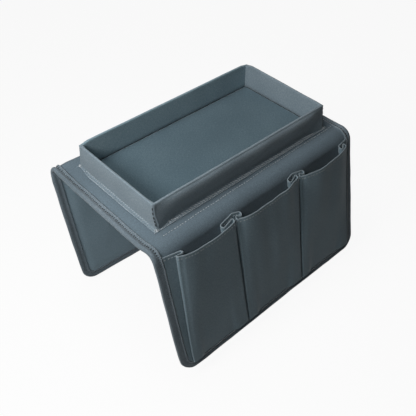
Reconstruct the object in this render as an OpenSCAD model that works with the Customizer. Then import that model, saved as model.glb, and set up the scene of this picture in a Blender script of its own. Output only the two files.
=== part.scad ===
// Sofa arm tray: a padded saddle with a stiff-walled tray on top and a pleated pocket row on its front flap.
// X runs along the sofa arm, the pocket flap hangs at -Y, and z = 0 is the face that lies on the arm.

/* [Saddle] */
// Length of the saddle along the sofa arm
saddle_length = 360; // [340:5:420]
// Width of the saddle's top, from fold to fold
saddle_width = 208; // [205:1:240]
// Thickness of one layer of cloth
cloth_thickness = 0.8; // [0.6:0.1:0.8]
// Thickness of the padding between the cover and the lining
padding_thickness = 2.4; // [1.6:0.2:3]
// Width of the binding tape on each face
binding_width = 12; // [8:1:14]

/* [Tray] */
// Length of the tray across its rim
tray_length = 300; // [260:5:305]
// Width of the tray across its rim
tray_width = 150; // [120:2:150]
// Height of the rim above the cover
tray_height = 38; // [25:1:60]
// Thickness of the stiff boards in the walls and the floor
board_thickness = 2; // [1.5:0.5:3]
// How far the long skirts flare out at their base
skirt_flare = 0.8; // [0:0.2:4]
// How far each skirt bulges below the rim
skirt_bulge = 1.2; // [0:0.1:1.2]
// Width of the flange that is sewn to the cover
flange_width = 5.5; // [3:0.5:6]
// How far the tray's centre lies from the saddle's centre, along the arm
tray_shift_x = 1.8; // [-5:0.1:5]
// How far the tray's centre lies from the saddle's centre, across the arm
tray_shift_y = 3; // [0:0.1:4]

/* [Front flap] */
// Length of the flap from the corner of the fold to its lower edge
front_drop = 200; // [160:5:200]
// Angle by which the flap stands out from the vertical
front_splay = 12.8; // [0:0.1:25]
// Outer radius of the fold
front_fold_radius = 18; // [10:1:18]

/* [Back flap] */
// Length of the flap from the corner of the fold to its lower edge
back_drop = 211; // [160:1:240]
// Angle by which the flap leans in from the vertical
back_lean = 6.7; // [0:0.1:15]
// Outer radius of the fold
back_fold_radius = 7; // [6:1:8]

/* [Flap edges] */
// Radius of the lower corners
corner_radius = 20; // [16:1:24]

/* [Pockets] */
// Distance of the mouth from the corner of the fold, at the side seams
mouth_drop = 10; // [8:1:30]
// How far the mouth's cloth sags for each millimetre that it stands off the flap
mouth_tilt = 0.5; // [0:0.1:0.8]
// Extra sag in the middle of each mouth
mouth_sag = 2; // [0:0.5:6]
// Radius of the pleats' folds at the mouth
pleat_radius = 1.4; // [1:0.1:1.6]
// Height of the inner folds off the flap, at the mouth
inner_fold_height = 4; // [3:0.1:4.5]

/* [Hidden] */

$fn = 64;

cover_colour = "#4f5f68";
lining_colour = "#56666e";
binding_colour = "#465259";
pocket_colour = "#414c54";
padding_colour = "#c9c6bd";
board_colour = "#a58c68";

// The layers of the saddle, counted from the rest face up
panel_thickness = 2 * cloth_thickness + padding_thickness;
half_length = saddle_length / 2;
// The gap left between pieces that only touch
touch_gap = 0.05;
// How far a cutting shape reaches past what it cuts
cut_past = 1;

// The length that a fold takes from each of the two panels that it joins
function fold_reach(radius, turn) = radius * tan(turn / 2);
function fold_turn(side) = side == "front" ? 90 - front_splay : 90 + back_lean;
function fold_radius(side) = side == "front" ? front_fold_radius : back_fold_radius;
function flap_start(side) = fold_reach(fold_radius(side), fold_turn(side));
function flap_drop(side) = side == "front" ? front_drop : back_drop;
function top_edge(side) = saddle_width / 2 - flap_start(side);

// Heights and thicknesses of the tray
wall_thickness = 2 * cloth_thickness + board_thickness;
tray_base = panel_thickness;
rim_height = tray_base + tray_height;
floor_board_top = tray_base + board_thickness;
rim_radius = 1.5;
seam_gap = 0.1;
skirt_steps = 16;

// The pockets share the flap's width between its side bindings equally
bay_width = (saddle_length - 2 * binding_width) / 3;
pocket_bottom = front_drop - binding_width - touch_gap;
// Each row: left inner fold, left outer fold, right outer fold and right inner fold, as distances
// from the bay's left seam for the first two and from its right seam for the last two
pocket_folds = [
  [26, 13.5, -7, -22],
  [10, -3, 2.5, -14],
  [17, 7, -7, -18]
];
// Each row: how far the front panel stands off the flap at its left fold, its right fold, and its bulge between
pocket_stand = [
  [12, 9.5, 2],
  [9.5, 8.5, 5],
  [8.5, 8, 7]
];
pocket_rings = 15;
fold_steps = 6;
panel_steps = 14;
flat_radius = 0.6;
seam_height = cloth_thickness / 2 + touch_gap;
press_run = 12;

function mix(a, b, t) = a + (b - a) * t;
function smooth(x) = let (c = max(0, min(1, x))) c * c * (3 - 2 * c);

// Places a flap's own frame on the saddle: y = 0 is the corner of the fold, -y runs down the flap
// and z = 0 is the outer face
module on_flap(side) {
  mirror([0, side == "back" ? 1 : 0, 0])
    translate([0, -saddle_width / 2, panel_thickness])
      rotate([fold_turn(side), 0, 0])
        children();
}

// A slab of the saddle's panel between two heights above its inner face, set in from the cut edges
// by an inset. past lengthens it beyond its own ends, for cutting.
module top_slab(inset, low, high, past) {
  half = half_length - inset;
  depth = top_edge("front") + top_edge("back");
  translate([-half, -top_edge("front") - past, low])
    cube([2 * half, depth + 2 * past, high - low]);
}

module fold_slab(side, inset, low, high, past) {
  half = half_length - inset;
  inside = fold_radius(side) - panel_thickness;
  wedge_steps = 4;
  wedge_reach = 2 * (fold_radius(side) + cloth_thickness);
  mirror([0, side == "front" ? 0 : 1, 0])
    translate([-half, -top_edge(side), -inside])
      rotate([90, 0, 90])
        linear_extrude(2 * half)
          intersection() {
            difference() {
              circle(inside + high);
              circle(inside + low);
            }
            polygon(concat([[0, 0]], [for (i = [0:wedge_steps])
              let (a = mix(90 - past, 90 + fold_turn(side) + past, i / wedge_steps))
              wedge_reach * [cos(a), sin(a)]]));
          }
}

// Outline of a flap with round lower corners, drawn in from its edge by an inset
module flap_plan(drop, start, inset) {
  half = half_length - inset;
  low = drop - inset;
  r = corner_radius - inset;
  translate([-half, r - low])
    square([2 * half, low - r - start]);
  translate([r - half, -low])
    square([2 * (half - r), low - start]);
  for (x = [r - half, half - r])
    translate([x, r - low])
      circle(r);
}

module flap_slab(side, inset, low, high, past) {
  on_flap(side)
    translate([0, 0, low - panel_thickness])
      linear_extrude(high - low)
        flap_plan(flap_drop(side), flap_start(side) + touch_gap - past, inset);
}

module slab(kind, side, inset, low, high, past = 0) {
  if (kind == "top") top_slab(inset, low, high, past);
  if (kind == "fold") fold_slab(side, inset, low, high, past);
  if (kind == "flap") flap_slab(side, inset, low, high, past);
}

// The three layers of the panel. The lining and the padding are pressed up by one cloth's thickness
// under the tape, so that the inner face stays flat.
module cover_layer(kind, side) {
  color(cover_colour)
    slab(kind, side, cloth_thickness, panel_thickness - cloth_thickness, panel_thickness);
}

module padding_layer(kind, side) {
  color(padding_colour) {
    slab(kind, side, cloth_thickness, 2 * cloth_thickness, panel_thickness - cloth_thickness);
    slab(kind, side, binding_width + cloth_thickness, cloth_thickness, 2 * cloth_thickness);
  }
}

module lining_layer(kind, side) {
  color(lining_colour) {
    slab(kind, side, binding_width, 0, cloth_thickness);
    difference() {
      slab(kind, side, cloth_thickness, cloth_thickness, 2 * cloth_thickness);
      slab(kind, side, binding_width + cloth_thickness, 0, panel_thickness, cut_past);
    }
  }
}

// The tape folded over the cut edges: a leg on each face and the edge between them
module binding_layer(kind, side) {
  color(binding_colour)
    difference() {
      slab(kind, side, 0, 0, panel_thickness + cloth_thickness);
      slab(kind, side, cloth_thickness, cloth_thickness, panel_thickness, cut_past);
      slab(kind, side, binding_width, -cut_past, panel_thickness + cloth_thickness + cut_past, cut_past);
    }
}

// The tape at one end of the top panel
module top_end_binding(side) {
  intersection() {
    binding_layer("top", "both");
    translate([side == "left" ? -saddle_length : 0, -saddle_width, -saddle_width])
      cube([saddle_length, 2 * saddle_width, 2 * saddle_width]);
  }
}

// The tray
module at_tray() {
  translate([tray_shift_x, tray_shift_y, 0])
    children();
}

module tray_floor_layer(inset, low, thickness) {
  at_tray()
    translate([-tray_length / 2 + inset, -tray_width / 2 + inset, low])
      cube([tray_length - 2 * inset, tray_width - 2 * inset, thickness]);
}

module tray_floor_board() {
  color(board_colour)
    tray_floor_layer(cloth_thickness + board_thickness, tray_base, board_thickness);
}

module tray_floor_cloth() {
  color(cover_colour)
    tray_floor_layer(wall_thickness + seam_gap, floor_board_top, cloth_thickness);
}

// Turns a wall drawn along x with its outside at -y to face one of the four sides
module tray_side(side) {
  turn = side == "front" ? 0 : side == "right" ? 90 : side == "back" ? 180 : -90;
  at_tray()
    rotate([0, 0, turn])
      children();
}

function is_long(side) = side == "front" || side == "back";
function wall_length(side) = is_long(side) ? tray_length : tray_width;
function wall_distance(side) = (is_long(side) ? tray_width : tray_length) / 2;

// The short boards stand between the long ones
module tray_board(side) {
  length = wall_length(side) - 2 * cloth_thickness - (is_long(side) ? 0 : 2 * board_thickness);
  color(board_colour)
    tray_side(side)
      translate([-length / 2, -wall_distance(side) + cloth_thickness, tray_base])
        cube([length, board_thickness, tray_height - cloth_thickness]);
}

// How far a skirt stands out from the rim at t = 0 (base) to 1 (below the rim):
// a flare that dies out upwards, and a soft bulge below the rim
function skirt_out(t, flare) = flare * pow(1 - t, 4) + skirt_bulge * sin(180 * pow(t, 1.6));
function skirt_z(t) = mix(tray_base + cloth_thickness, rim_height - rim_radius, t);

// Section of a wall's cloth, open downwards: flange, skirt, rolled rim and inner leg.
// x is the distance outside the rim with its sign turned, y is the height.
module wall_cloth_section(flare) {
  steps = [for (i = [0:skirt_steps]) i / skirt_steps];
  outside = [for (t = steps) [-skirt_out(t, flare), skirt_z(t)]];
  roll_out = [for (a = [15:15:90]) [rim_radius - rim_radius * cos(a), rim_height - rim_radius + rim_radius * sin(a)]];
  roll_in = [for (a = [90:-15:0])
    [wall_thickness - rim_radius + rim_radius * cos(a), rim_height - rim_radius + rim_radius * sin(a)]];
  inner_leg = [
    [wall_thickness, floor_board_top],
    [wall_thickness - cloth_thickness, floor_board_top],
    [wall_thickness - cloth_thickness, rim_height - cloth_thickness],
    [cloth_thickness, rim_height - cloth_thickness]
  ];
  inside = [for (i = [skirt_steps:-1:1])
    [cloth_thickness - skirt_out(steps[i], flare), skirt_z(steps[i]) - (i == skirt_steps ? rim_radius : 0)]];
  flange = [
    [cloth_thickness - flare, tray_base],
    [-flare - flange_width, tray_base],
    [-flare - flange_width, tray_base + cloth_thickness]
  ];
  polygon(concat(outside, roll_out, roll_in, inner_leg, inside, flange));
}

// Plan of the ground that one wall's cloth covers, mitred to its neighbours through the rim's corners
module mitre_plan(side) {
  half = wall_length(side) / 2;
  rim = wall_distance(side);
  reach = skirt_flare + flange_width + cut_past;
  depth = wall_thickness + cut_past;
  corner = [half + flange_width, -rim - flange_width];
  polygon([
    [-corner[0], -rim - reach], [corner[0], -rim - reach], corner,
    [half - depth, -rim + depth], [-half + depth, -rim + depth], [-corner[0], corner[1]]
  ]);
}

module tray_cloth(side) {
  flare = is_long(side) ? skirt_flare : 0;
  length = wall_length(side) + 2 * flange_width;
  color(cover_colour)
    tray_side(side)
      intersection() {
        translate([-length / 2, -wall_distance(side), 0])
          rotate([90, 0, 90])
            linear_extrude(length)
              wall_cloth_section(flare);
        linear_extrude(rim_height + cut_past)
          mitre_plan(side);
      }
}

// The pleated pockets. A pocket's cloth runs from its left seam in to an inner fold, back out to the
// front panel's edge, across the panel, and in the same way to its right seam. Down the flap, the
// pleats and the panel are pressed flat: t is 0 at the mouth and 1 at the bottom seam.

// Half turn of a fold about [x, z], from one side of the cloth to the other
function half_turn(centre, r, from, to) =
  [for (i = [0:fold_steps]) let (a = mix(from, to, i / fold_steps)) centre + r * [cos(a), sin(a)]];

// The share of its height at the mouth that the pocket still has at t
function standing(t) = pow(1 - t, 1.3);

// The pocket row's lower corners follow the round inner edge of the tape
inner_corner = corner_radius - binding_width;
corner_angles = [0, 30, 60];
function bottom_at(x) =
  let (
    from_side = min(x - binding_width, saddle_length - binding_width - x),
    short = max(0, inner_corner - from_side)
  )
  pocket_bottom - inner_corner + sqrt(max(0, inner_corner * inner_corner - short * short));

// Points of the base layer from a seam towards its inner fold, close together over the round corner
function base_run(seam, fold, fold_z, sign) =
  [for (a = corner_angles) let (x = inner_corner * (1 - cos(a)))
    [seam + sign * x, mix(seam_height, fold_z, x / abs(fold - seam))]];

// Centre line of the cloth across one pocket at t, as [distance from the left edge, height off the flap]
function pocket_line(index, t) =
  let (
    left = binding_width + index * bay_width + touch_gap,
    right = left + bay_width - 2 * touch_gap,
    folds = pocket_folds[index],
    stand = pocket_stand[index],
    up = standing(t),
    r = mix(flat_radius, pleat_radius, up),
    inner_z = mix(seam_height + flat_radius, inner_fold_height, up),
    flat_z = seam_height + 4 * flat_radius,
    left_z = mix(flat_z, stand[0], up),
    right_z = mix(flat_z, stand[1], up),
    inner_left = left + folds[0],
    outer_left = left + folds[1],
    outer_right = right + folds[2],
    inner_right = right + folds[3],
    panel = [for (i = [1:panel_steps - 1])
      let (
        s = i / panel_steps,
        x = mix(outer_left + r, outer_right - r, s),
        pressed = smooth((x - inner_left - 1) / press_run) * smooth((inner_right - 1 - x) / press_run),
        drop = pow(t, 4) * 4 * flat_radius * pressed
      )
      [x, mix(left_z, right_z, s) + up * stand[2] * 4 * s * (1 - s) - drop]]
  )
  concat(
    base_run(left, inner_left - r, inner_z - r, 1),
    half_turn([inner_left - r, inner_z], r, -90, 90),
    half_turn([outer_left + r, left_z - r], r, 270, 90),
    panel,
    half_turn([outer_right - r, right_z - r], r, 90, -90),
    half_turn([inner_right + r, inner_z], r, 90, 270),
    [for (p = [len(corner_angles) - 1:-1:0]) base_run(right, inner_right + r, inner_z - r, -1)[p]]
  );

// Distance of a point of the mouth from the corner of the fold: it sags as it stands off the flap
function mouth_at(p, index) =
  let (
    left = binding_width + index * bay_width,
    s = max(0, min(1, (p[0] - left) / bay_width))
  )
  mouth_drop + mouth_tilt * p[1] + mouth_sag * 4 * s * (1 - s);

// The cloth's thickness stands square to its line, and square to the flap at the two seams
function across(a, b) = let (d = b - a) [-d[1], d[0]] / norm(d);

// One ring of the cloth's skin: along the outer face, then back along the inner face
function pocket_ring(index, t) =
  let (
    line = pocket_line(index, t),
    last = len(line) - 1,
    normals = [for (i = [0:last]) i == 0 || i == last ? [0, 1] : across(line[i - 1], line[i + 1])],
    outer = [for (i = [0:last]) line[i] + normals[i] * cloth_thickness / 2],
    inner = [for (i = [last:-1:0]) line[i] - normals[i] * cloth_thickness / 2],
    mouth = [for (p = line) mouth_at(p, index)],
    drops = concat(mouth, [for (i = [last:-1:0]) mouth[i]]),
    skin = concat(outer, inner),
    bottoms = [for (p = line) bottom_at(p[0])],
    ends = concat(bottoms, [for (i = [last:-1:0]) bottoms[i]])
  )
  [for (i = [0:len(skin) - 1])
    [skin[i][0] - half_length, -mix(drops[i], ends[i], t), skin[i][1]]];

function two_triangles(a, b, c, d) = [[a, b, c], [a, c, d]];

module pocket(index) {
  rings = [for (k = [0:pocket_rings]) pocket_ring(index, pow(k / pocket_rings, 1.2))];
  m = len(rings[0]);
  half = m / 2;
  top = 0;
  bottom = pocket_rings * m;
  skin = [for (k = [0:pocket_rings - 1]) for (j = [0:m - 1])
    let (n = (j + 1) % m)
    each two_triangles(k * m + j, k * m + n, (k + 1) * m + n, (k + 1) * m + j)];
  mouth_edge = [for (j = [0:half - 2])
    each two_triangles(top + j, top + m - 1 - j, top + m - 2 - j, top + j + 1)];
  bottom_edge = [for (j = [0:half - 2])
    each two_triangles(bottom + j, bottom + j + 1, bottom + m - 2 - j, bottom + m - 1 - j)];
  color(pocket_colour)
    on_flap("front")
      polyhedron([for (r = rings) each r], concat(skin, mouth_edge, bottom_edge));
}

cover_layer("top", "both");  // top_cover
padding_layer("top", "both");  // top_padding
lining_layer("top", "both");  // top_lining
top_end_binding("left");  // top_binding_left
top_end_binding("right");  // top_binding_right
tray_floor_board();
tray_floor_cloth();
tray_board("front");  // tray_board_front
tray_board("back");  // tray_board_back
tray_board("left");  // tray_board_left
tray_board("right");  // tray_board_right
tray_cloth("front");  // tray_cloth_front
tray_cloth("back");  // tray_cloth_back
tray_cloth("left");  // tray_cloth_left
tray_cloth("right");  // tray_cloth_right
cover_layer("fold", "front");  // front_fold_cover
padding_layer("fold", "front");  // front_fold_padding
lining_layer("fold", "front");  // front_fold_lining
binding_layer("fold", "front");  // front_fold_bindings
cover_layer("fold", "back");  // back_fold_cover
padding_layer("fold", "back");  // back_fold_padding
lining_layer("fold", "back");  // back_fold_lining
binding_layer("fold", "back");  // back_fold_bindings
cover_layer("flap", "front");  // front_cover
padding_layer("flap", "front");  // front_padding
lining_layer("flap", "front");  // front_lining
binding_layer("flap", "front");  // front_binding
pocket(0);  // pocket_left
pocket(1);  // pocket_middle
pocket(2);  // pocket_right
cover_layer("flap", "back");  // back_cover
padding_layer("flap", "back");  // back_padding
lining_layer("flap", "back");  // back_lining
binding_layer("flap", "back");  // back_binding
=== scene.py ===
# Sofa arm tray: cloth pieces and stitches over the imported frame. Shapes are worked out in millimetres
# in the row's frame (x along the arm, -y the pocket side) and put into the meshes in metres.
import bpy
import numpy as np
from mathutils import Matrix


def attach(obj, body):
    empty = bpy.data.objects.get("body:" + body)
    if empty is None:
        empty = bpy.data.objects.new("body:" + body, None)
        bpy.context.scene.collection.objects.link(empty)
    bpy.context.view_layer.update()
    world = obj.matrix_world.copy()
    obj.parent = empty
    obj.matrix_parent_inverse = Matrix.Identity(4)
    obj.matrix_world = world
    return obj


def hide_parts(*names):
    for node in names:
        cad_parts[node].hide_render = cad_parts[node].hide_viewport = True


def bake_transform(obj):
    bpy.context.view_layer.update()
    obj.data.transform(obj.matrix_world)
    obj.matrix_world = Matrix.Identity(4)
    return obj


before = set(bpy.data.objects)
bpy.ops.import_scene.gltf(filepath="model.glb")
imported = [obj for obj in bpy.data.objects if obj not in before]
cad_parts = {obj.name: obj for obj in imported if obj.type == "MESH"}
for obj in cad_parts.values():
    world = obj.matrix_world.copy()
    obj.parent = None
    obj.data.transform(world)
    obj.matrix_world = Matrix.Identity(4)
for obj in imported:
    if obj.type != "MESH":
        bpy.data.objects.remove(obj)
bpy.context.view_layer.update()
scene = bpy.context.scene
mm = 0.001
print("frame loaded:", len(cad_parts), "nodes")


# ---------------------------------------------------------------- small maths
def smoothStep(x):
    # 0 below 0, 1 above 1, 3x^2 - 2x^3 between
    x = np.clip(x, 0, 1)
    return x * x * (3 - 2 * x)


def ripple(x, y, length, seed, waves=8):
    # Sum of plane waves with seeded directions, phases and lengths near the given one, within about -1 to 1
    rng = np.random.default_rng(seed)
    turn = rng.uniform(0, np.pi, waves)
    size = length * rng.uniform(0.7, 1.6, waves)
    phase = rng.uniform(0, 2 * np.pi, waves)
    along = (x[..., None] * np.cos(turn) + y[..., None] * np.sin(turn)) / size
    return np.sin(2 * np.pi * along + phase).sum(-1) / waves ** 0.5 / 1.4


def curveThrough(points, count):
    # Catmull-Rom curve through the points, sampled evenly by chord length
    p = np.array(points, float)
    chord = np.r_[0, np.cumsum(np.linalg.norm(np.diff(p, axis=0), axis=1))]
    slope = np.gradient(p, chord, axis=0)
    at = np.linspace(0, chord[-1], count)
    k = np.clip(np.searchsorted(chord, at, side="right") - 1, 0, len(p) - 2)
    span = (chord[k + 1] - chord[k])[:, None]
    t = (at[:, None] - chord[k][:, None]) / span
    return (
        (2 * t**3 - 3 * t**2 + 1) * p[k]
        + (t**3 - 2 * t**2 + t) * span * slope[k]
        + (3 * t**2 - 2 * t**3) * p[k + 1]
        + (t**3 - t**2) * span * slope[k + 1]
    )


def gridNormals(grid):
    # Unit normal at each grid point: cross product of the two central differences
    n = np.cross(np.gradient(grid, axis=0), np.gradient(grid, axis=1))
    return n / np.maximum(np.linalg.norm(n, axis=-1, keepdims=True), 1e-9)


# ---------------------------------------------------------------- meshes
def shell(outer, inner, flat):
    # Closed skin between two grids of the same size: both grids and the four strips that join their edges.
    # flat is each grid point's place on the flat cloth, for the weave.
    rows, columns = outer.shape[:2]
    count = rows * columns
    index = np.arange(count).reshape(rows, columns)
    face = np.stack([index[:-1, :-1], index[1:, :-1], index[1:, 1:], index[:-1, 1:]], -1).reshape(-1, 4)
    edge = np.r_[index[:-1, 0], index[-1, :-1], index[:0:-1, -1], index[0, :0:-1]]
    after = np.roll(edge, -1)
    strip = np.stack([after, edge, edge + count, after + count], -1)
    verts = np.r_[outer.reshape(-1, 3), inner.reshape(-1, 3)]
    faces = np.r_[face, face[:, ::-1] + count, strip]
    a, b, c, d = (verts[faces[:, k]] for k in range(4))
    volume = (np.cross(b - a, c - a) * a).sum() + (np.cross(c - a, d - a) * a).sum()
    if volume < 0:
        faces = faces[:, ::-1]
    return verts, faces, np.r_[flat.reshape(-1, 2), flat.reshape(-1, 2)]


def clothShell(centre, thick, flat):
    # The cloth's skin stands half its thickness to each side of its centre surface
    step = gridNormals(centre) * thick / 2
    return shell(centre + step, centre - step, flat)


def addPiece(name, shells, material):
    # One object from one or more skins, smooth except where faces meet at more than 50 degrees
    starts = np.cumsum([0] + [len(s[0]) for s in shells])
    verts = np.concatenate([s[0] for s in shells]) * mm
    faces = np.concatenate([s[1] + k for s, k in zip(shells, starts)])
    flat = np.concatenate([s[2] for s in shells]) * mm
    mesh = bpy.data.meshes.new(name)
    mesh.vertices.add(len(verts))
    mesh.vertices.foreach_set("co", verts.astype(np.float32).ravel())
    mesh.loops.add(faces.size)
    mesh.loops.foreach_set("vertex_index", faces.astype(np.int32).ravel())
    mesh.polygons.add(len(faces))
    mesh.polygons.foreach_set("loop_start", np.arange(0, faces.size, 4, dtype=np.int32))
    mesh.polygons.foreach_set("use_smooth", np.ones(len(faces), bool))
    mesh.update(calc_edges=True)
    uv = mesh.uv_layers.new(name="cloth")
    uv.data.foreach_set("uv", flat[faces.ravel()].astype(np.float32).ravel())
    mesh.set_sharp_from_angle(angle=np.radians(50))
    mesh.materials.append(material)
    piece = bpy.data.objects.new(name, mesh)
    scene.collection.objects.link(piece)
    return piece


# ---------------------------------------------------------------- materials
def linearColour(code):
    # sRGB hex to linear RGBA
    c = np.array([int(code[k:k + 2], 16) for k in (1, 3, 5)]) / 255
    return (*np.where(c <= 0.04045, c / 12.92, ((c + 0.055) / 1.055) ** 2.4), 1)


def addNode(tree, kind, settings=None, links=None):
    # Adds a node, sets its properties and sockets by name, and links sockets from (node, output) pairs
    made = tree.nodes.new(kind)
    for key, value in (settings or {}).items():
        if isinstance(key, str) and hasattr(made, key):
            setattr(made, key, value)
        else:
            made.inputs[key].default_value = value
    for key, (source, output) in (links or {}).items():
        tree.links.new(source.outputs[output], made.inputs[key])
    return made


def newMaterial(name):
    made = bpy.data.materials.new(name)
    made.use_nodes = True
    made.node_tree.nodes.clear()
    return made, made.node_tree


# Oxford cloth: polyester yarns in a plain weave, dyed slate and coated on the back. The eye sees a matt
# face, a faint grid of yarns, and lighter yarns that come and go. Real yarns stand 0.45 mm apart, too
# fine to show, so the weave is drawn at 0.9 mm.
def wovenCloth(name, deep, mid, light, yarn=0.9, relief=0.08, sheen=0.3, rough=0.6, mouthHighlight=None):
    made, tree = newMaterial(name)
    place = addNode(tree, "ShaderNodeTexCoord")
    warp = addNode(tree, "ShaderNodeMapping", {"Scale": (1000 / yarn, 1000 / (yarn * 3.5), 1)}, {"Vector": (place, "UV")})
    weft = addNode(tree, "ShaderNodeMapping", {"Scale": (1000 / (yarn * 3.5), 1000 / yarn, 1)}, {"Vector": (place, "UV")})
    warpTone = addNode(tree, "ShaderNodeTexNoise", {"Scale": 1.0, "Detail": 2.0, "Roughness": 0.6}, {"Vector": (warp, 0)})
    weftTone = addNode(tree, "ShaderNodeTexNoise", {"Scale": 1.0, "Detail": 2.0, "Roughness": 0.6}, {"Vector": (weft, 0)})
    yarns = addNode(tree, "ShaderNodeMath", {"operation": "MAXIMUM"}, {0: (warpTone, 0), 1: (weftTone, 0)})
    cloud = addNode(tree, "ShaderNodeTexNoise", {"Scale": 14.0, "Detail": 3.0}, {"Vector": (place, "Object")})
    shade = addNode(tree, "ShaderNodeMath", {"operation": "MULTIPLY_ADD", 1: 0.3, 2: -0.15}, {0: (cloud, 0)})
    level = addNode(tree, "ShaderNodeMath", {"operation": "ADD"}, {0: (yarns, 0), 1: (shade, 0)})
    tint = addNode(tree, "ShaderNodeValToRGB", None, {0: (level, 0)})
    ramp = tint.color_ramp
    ramp.elements[0].position, ramp.elements[0].color = 0.44, linearColour(deep)
    ramp.elements[1].position, ramp.elements[1].color = 0.70, linearColour(light)
    ramp.elements.new(0.56).color = linearColour(mid)
    parts = addNode(tree, "ShaderNodeSeparateXYZ", None, {0: (place, "UV")})
    if mouthHighlight:
        # painted highlight: the fold at the mouth is drawn lighter, within a millimetre of the cloth's own zero line
        near = addNode(tree, "ShaderNodeMath", {"operation": "ABSOLUTE"}, {0: (parts, 1)})
        highlightShare = addNode(tree, "ShaderNodeMapRange", {"From Min": 0.0010, "From Max": 0.0004, "To Min": 0.0, "To Max": 0.7}, {"Value": (near, 0)})
        highlighted = addNode(tree, "ShaderNodeMix", {"data_type": "RGBA"}, {0: (highlightShare, 0), 6: (tint, 0)})
        highlighted.inputs[7].default_value = linearColour(mouthHighlight)
    across = addNode(tree, "ShaderNodeMath", {"operation": "MULTIPLY", 1: 2000 * np.pi / yarn}, {0: (parts, 0)})
    along = addNode(tree, "ShaderNodeMath", {"operation": "MULTIPLY", 1: 2000 * np.pi / yarn}, {0: (parts, 1)})
    overA = addNode(tree, "ShaderNodeMath", {"operation": "SINE"}, {0: (across, 0)})
    overB = addNode(tree, "ShaderNodeMath", {"operation": "SINE"}, {0: (along, 0)})
    weave = addNode(tree, "ShaderNodeMath", {"operation": "MULTIPLY"}, {0: (overA, 0), 1: (overB, 0)})
    height = addNode(tree, "ShaderNodeMath", {"operation": "MULTIPLY_ADD", 1: 0.5}, {0: (weave, 0), 2: (yarns, 0)})
    bump = addNode(tree, "ShaderNodeBump", {"Strength": 0.6, "Distance": relief * mm}, {"Height": (height, 0)})
    skin = addNode(
        tree, "ShaderNodeBsdfPrincipled",
        {"Roughness": rough, "IOR": 1.5, "Specular IOR Level": 0.12, "Sheen Weight": sheen, "Sheen Roughness": 0.45},
        {"Base Color": (highlighted, 2) if mouthHighlight else (tint, 0), "Normal": (bump, 0)},
    )
    addNode(tree, "ShaderNodeOutputMaterial", None, {"Surface": (skin, 0)})
    return made


# Spun polyester sewing thread, twisted: pale grey with a soft gloss
def threadMaterial(name, code):
    made, tree = newMaterial(name)
    place = addNode(tree, "ShaderNodeTexCoord")
    fleck = addNode(tree, "ShaderNodeTexNoise", {"Scale": 900.0, "Detail": 2.0}, {"Vector": (place, "Object")})
    tint = addNode(tree, "ShaderNodeValToRGB", None, {0: (fleck, 0)})
    tint.color_ramp.elements[0].color = linearColour(code)
    tint.color_ramp.elements[0].position = 0.3
    tint.color_ramp.elements[1].color = tuple(min(1, 1.5 * c) for c in linearColour(code))
    skin = addNode(tree, "ShaderNodeBsdfPrincipled", {"Roughness": 0.55, "Sheen Weight": 0.2}, {"Base Color": (tint, 0)})
    addNode(tree, "ShaderNodeOutputMaterial", None, {"Surface": (skin, 0)})
    return made


# Grey board and needle-felt wadding stay inside the cloth: plain fibrous surfaces. The board is taken darker than its
# own grey so the gap at the tray floor's seam reads dark: partly painted shade.
def fibreMaterial(name, dark, light, grain, rough):
    made, tree = newMaterial(name)
    place = addNode(tree, "ShaderNodeTexCoord")
    fibre = addNode(tree, "ShaderNodeTexNoise", {"Scale": grain, "Detail": 5.0, "Roughness": 0.7}, {"Vector": (place, "Object")})
    tint = addNode(tree, "ShaderNodeValToRGB", None, {0: (fibre, 0)})
    tint.color_ramp.elements[0].color = linearColour(dark)
    tint.color_ramp.elements[1].color = linearColour(light)
    bump = addNode(tree, "ShaderNodeBump", {"Strength": 0.4, "Distance": 0.3 * mm}, {"Height": (fibre, 0)})
    skin = addNode(tree, "ShaderNodeBsdfPrincipled", {"Roughness": rough}, {"Base Color": (tint, 0), "Normal": (bump, 0)})
    addNode(tree, "ShaderNodeOutputMaterial", None, {"Surface": (skin, 0)})
    return made


# One Oxford cloth throughout: the pieces' tones differ to stand in for the light each piece gets. Painted light: the
# tray walls, pockets and lining are lighter copies, and the back wall is a lighter, bluer copy for light bounced off
# the floor. Painted shade: the tray floor is a darker copy. The tape's tone is set the same way. The lining's lighter
# tone is partly its coated reverse face and partly painted light.
coverCloth = wovenCloth("Oxford cloth, slate cover", "#5f6e77", "#677781", "#73838d")
floorShadedCloth = wovenCloth("Oxford cloth, slate tray floor, painted shade", "#516670", "#596e78", "#657a83")
trayWallLitCloth = wovenCloth("Oxford cloth, slate tray walls, painted light", "#7a8a93", "#85949d", "#95a3ab")
backWallBounceLitCloth = wovenCloth("Oxford cloth, slate back wall, painted bounce light", "#7a929c", "#879fa9", "#96adb6")
liningLighterAndLitCloth = wovenCloth("Oxford cloth, slate lining", "#859ca7", "#8ea5b1", "#9ab0bb")
tapeCloth = wovenCloth("Oxford bias tape, slate", "#626f76", "#6e7b84", "#818c93")
pocketLitCloth = wovenCloth("Oxford cloth, slate pockets", "#6c7f88", "#758993", "#80949d", mouthHighlight="#8d999f")
paleThreadAndEdgeHighlight = threadMaterial("Polyester thread, pale grey, and painted edge highlight", "#b3babe")
darkThread = threadMaterial("Polyester thread, slate", "#868f95")
# black marks for the shadowed gaps in the corner seams and between the tape's puckers: painted shade
blackShadeThread = threadMaterial("Black stitch marks, painted shade", "#15191c")
hemThread = threadMaterial("Polyester thread, mid grey", "#98a2a8")
# the board's tone is darker than its own grey so the seam gap at the tray floor reads dark: partly painted shade
greyBoardWithSeamShade = fibreMaterial("Grey board, pressed, darkened for seam shade", "#35393b", "#464b4d", 260.0, 0.85)
wadding = fibreMaterial("Needle-felt wadding, off-white", "#c2bfb6", "#dad7cf", 400.0, 0.95)
for node in ("tray_floor_board", "tray_board_front", "tray_board_back", "tray_board_left", "tray_board_right"):
    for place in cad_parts[node].material_slots:
        place.material = greyBoardWithSeamShade
print("materials made")


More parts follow.
